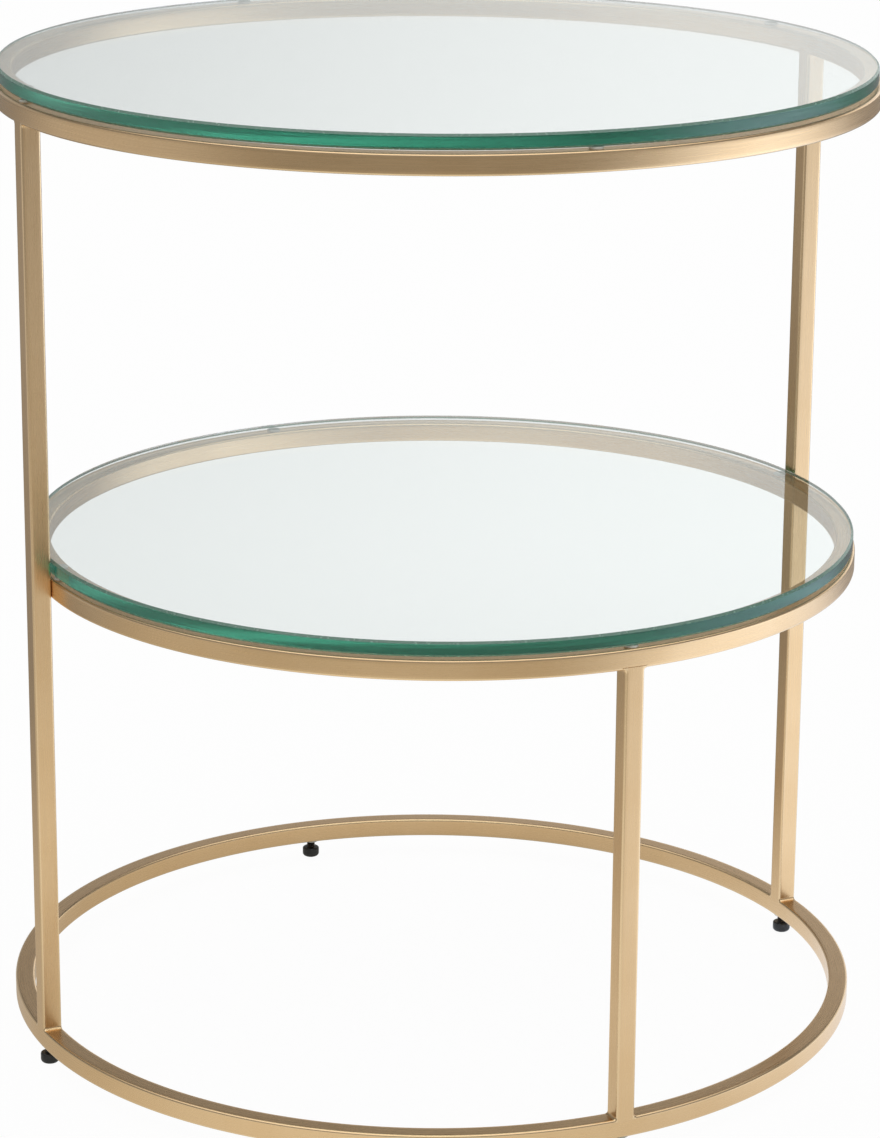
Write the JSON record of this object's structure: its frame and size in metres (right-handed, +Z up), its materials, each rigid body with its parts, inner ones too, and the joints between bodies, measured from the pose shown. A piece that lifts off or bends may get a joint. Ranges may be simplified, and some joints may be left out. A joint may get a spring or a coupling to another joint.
{
  "type": "tiered side table",
  "caption": "Round side table with a glass top, a nested glass shelf and slim square-tube rings and legs on levelling feet",
  "frame": {"origin": "on the floor under the middle of the base ring", "axes": "+X to the right-hand tall leg, -Y to the short front leg, +Z up"},
  "size_m": [0.56, 0.56, 0.639],
  "materials": {
    "satin_brass": "satin, finely brushed brass finish",
    "clear_glass": "clear float glass with polished green edge",
    "clear_bumper": "clear soft vinyl, glossy",
    "zinc_steel": "bright zinc plate",
    "black_steel": "black oxide",
    "black_plastic": "moulded, fine texture"
  },
  "bodies": {
    "frame": {"top_ring": "satin_brass", "shelf_ring": "satin_brass", "base_ring": "satin_brass", "leg_left": "satin_brass", "leg_right": "satin_brass", "leg_front": "satin_brass", "top_bumper_left": "clear_bumper", "top_bumper_front": "clear_bumper", "top_bumper_right": "clear_bumper", "top_bumper_back": "clear_bumper", "shelf_bumper_left": "clear_bumper", "shelf_bumper_front": "clear_bumper", "shelf_bumper_right": "clear_bumper", "shelf_bumper_back": "clear_bumper", "foot_insert_left": "zinc_steel", "foot_insert_right": "zinc_steel", "foot_insert_front": "zinc_steel", "foot_insert_back": "zinc_steel"},
    "top_glass": {"top_glass": "clear_glass"},
    "shelf_glass": {"shelf_glass": "clear_glass"},
    "foot_pad_left": {"foot_pad_left": "black_plastic"},
    "foot_stud_left": {"foot_stud_left": "black_steel"},
    "foot_pad_right": {"foot_pad_right": "black_plastic"},
    "foot_stud_right": {"foot_stud_right": "black_steel"},
    "foot_pad_front": {"foot_pad_front": "black_plastic"},
    "foot_stud_front": {"foot_stud_front": "black_steel"},
    "foot_pad_back": {"foot_pad_back": "black_plastic"},
    "foot_stud_back": {"foot_stud_back": "black_steel"}
  },
  "joints": [
    {"name": "top_glass_lift", "type": "slide", "parent": "frame", "child": "top_glass", "axis": [0, 0, 1], "range_m": [0, 0.15]},
    {"name": "shelf_glass_lift", "type": "slide", "parent": "frame", "child": "shelf_glass", "axis": [0, 0, 1], "range_m": [0, 0.12]},
    {"name": "left_foot_level", "type": "slide", "parent": "frame", "child": "foot_pad_left", "axis": [0, 0, 1], "range_m": [-0.005, 0.003]},
    {"name": "left_foot_screw", "type": "hinge", "parent": "foot_pad_left", "child": "foot_stud_left", "pos_m": [-0.27365, 0, 0.007], "axis": [0, 0, 1], "range_deg": [-1800, 1080]},
    {"name": "right_foot_level", "type": "slide", "parent": "frame", "child": "foot_pad_right", "axis": [0, 0, 1], "range_m": [-0.005, 0.003]},
    {"name": "right_foot_screw", "type": "hinge", "parent": "foot_pad_right", "child": "foot_stud_right", "pos_m": [0.27365, 0, 0.007], "axis": [0, 0, 1], "range_deg": [-1800, 1080]},
    {"name": "front_foot_level", "type": "slide", "parent": "frame", "child": "foot_pad_front", "axis": [0, 0, 1], "range_m": [-0.005, 0.003]},
    {"name": "front_foot_screw", "type": "hinge", "parent": "foot_pad_front", "child": "foot_stud_front", "pos_m": [0, -0.27365, 0.007], "axis": [0, 0, 1], "range_deg": [-1800, 1080]},
    {"name": "back_foot_level", "type": "slide", "parent": "frame", "child": "foot_pad_back", "axis": [0, 0, 1], "range_m": [-0.005, 0.003]},
    {"name": "back_foot_screw", "type": "hinge", "parent": "foot_pad_back", "child": "foot_stud_back", "pos_m": [0.0286, 0.27215, 0.007], "axis": [0, 0, 1], "range_deg": [-1800, 1080]}
  ],
  "couplings": [
    {"joint": "left_foot_screw", "follows": "left_foot_level", "rad_per_m": 6283.2},
    {"joint": "right_foot_screw", "follows": "right_foot_level", "rad_per_m": 6283.2},
    {"joint": "front_foot_screw", "follows": "front_foot_level", "rad_per_m": 6283.2},
    {"joint": "back_foot_screw", "follows": "back_foot_level", "rad_per_m": 6283.2}
  ]
}
